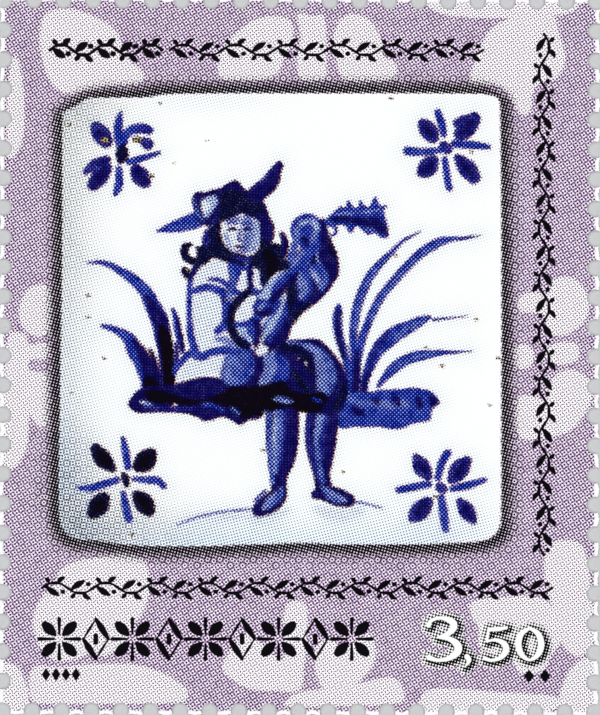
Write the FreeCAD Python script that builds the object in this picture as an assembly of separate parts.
"""A gummed postage stamp, torn from its sheet along comb perforations.

The stamp is one piece of paper. It lies flat on its gummed back with the printed face up, and
the long side of the design runs along +Y. The origin is on the gummed face, in the middle of
the rectangle that the perforation holes' centres lie on.

The sheet is perforated by a comb of round pins that are one pitch apart, so the size between
opposite rows of holes is a whole number of pitches each way. The stamp is then torn off: each
bridge of paper between two holes breaks a little outside the row of hole centres, and leaves
a tooth with an uneven tip.
"""
import os

import FreeCAD
import Part

from math import sin

# Perforation comb, in millimetres.
PITCH = 1.5
PITCHES_ACROSS = 20
PITCHES_UP = 24
HOLE_DIAMETER = 0.85

# Gummed stamp paper.
PAPER_THICKNESS = 0.1

# Torn teeth: the tip's width along the row, how far it stands past the row of hole centres,
# and how much that varies from one break to the next.
TOOTH_TIP_WIDTH = 0.72
TEAR_OVERHANG = 0.18
TEAR_UNEVENNESS = 0.05

# A break has three points: the tip's two corners and its middle. The angle between the points'
# phases has no simple ratio to a full turn, so that no two teeth break alike.
BREAK_POINTS = 3
BREAK_PHASE = 2.4

# The punch passes right through the sheet and runs on this far past each face.
PUNCH_RUN_OUT = 0.5

ALONG_X = FreeCAD.Vector(1, 0, 0)
ALONG_Y = FreeCAD.Vector(0, 1, 0)
ALONG_Z = FreeCAD.Vector(0, 0, 1)


def perforation_rows():
    """The four rows of holes, anticlockwise: first hole's centre, direction, outward, pitches."""
    half_across = PITCHES_ACROSS * PITCH / 2
    half_up = PITCHES_UP * PITCH / 2
    return [
        (FreeCAD.Vector(-half_across, -half_up, 0), ALONG_X, -ALONG_Y, PITCHES_ACROSS),
        (FreeCAD.Vector(half_across, -half_up, 0), ALONG_Y, ALONG_X, PITCHES_UP),
        (FreeCAD.Vector(half_across, half_up, 0), -ALONG_X, ALONG_Y, PITCHES_ACROSS),
        (FreeCAD.Vector(-half_across, half_up, 0), -ALONG_Y, -ALONG_X, PITCHES_UP),
    ]


def break_overhang(break_number, point_number):
    """How far one point of a tooth's break stands past the row of hole centres."""
    phase = BREAK_PHASE * (BREAK_POINTS * break_number + point_number)
    return TEAR_OVERHANG + TEAR_UNEVENNESS * sin(phase)


def tooth_break(hole_centre, along, outward, break_number):
    """The points of the break between one hole and the next, from its first corner on."""
    first_corner = (PITCH - TOOTH_TIP_WIDTH) / 2
    step = TOOTH_TIP_WIDTH / (BREAK_POINTS - 1)
    points = []
    for point_number in range(BREAK_POINTS):
        run = along * (first_corner + point_number * step)
        overhang = outward * break_overhang(break_number, point_number)
        points.append(hole_centre + run + overhang)
    return points


def torn_sheet():
    """The piece of sheet inside the tear, which runs from hole centre to hole centre."""
    points = []
    break_number = 0
    for first_centre, along, outward, pitches in perforation_rows():
        for pitch_number in range(pitches):
            hole_centre = first_centre + along * (pitch_number * PITCH)
            points.append(hole_centre)
            points += tooth_break(hole_centre, along, outward, break_number)
            break_number += 1
    outline = Part.makePolygon(points + points[:1])
    return Part.Face(outline).extrude(ALONG_Z * PAPER_THICKNESS)


def comb_punches():
    """One round punch for each hole round the stamp, the four at its corners among them."""
    punches = []
    for first_centre, along, outward, pitches in perforation_rows():
        for pitch_number in range(pitches):
            foot = first_centre + along * (pitch_number * PITCH) - ALONG_Z * PUNCH_RUN_OUT
            length = PAPER_THICKNESS + 2 * PUNCH_RUN_OUT
            punches.append(Part.makeCylinder(HOLE_DIAMETER / 2, length, foot, ALONG_Z))
    return punches


def perforated_stamp():
    """The torn sheet with every perforation hole punched out of it."""
    return torn_sheet().cut(comb_punches())


os.makedirs("parts", exist_ok=True)
stamp = perforated_stamp()
print("solids", len(stamp.Solids), "valid", stamp.isValid(), "volume mm3", round(stamp.Volume, 3))
stamp.Solids[0].exportStep("parts/stamp.step")
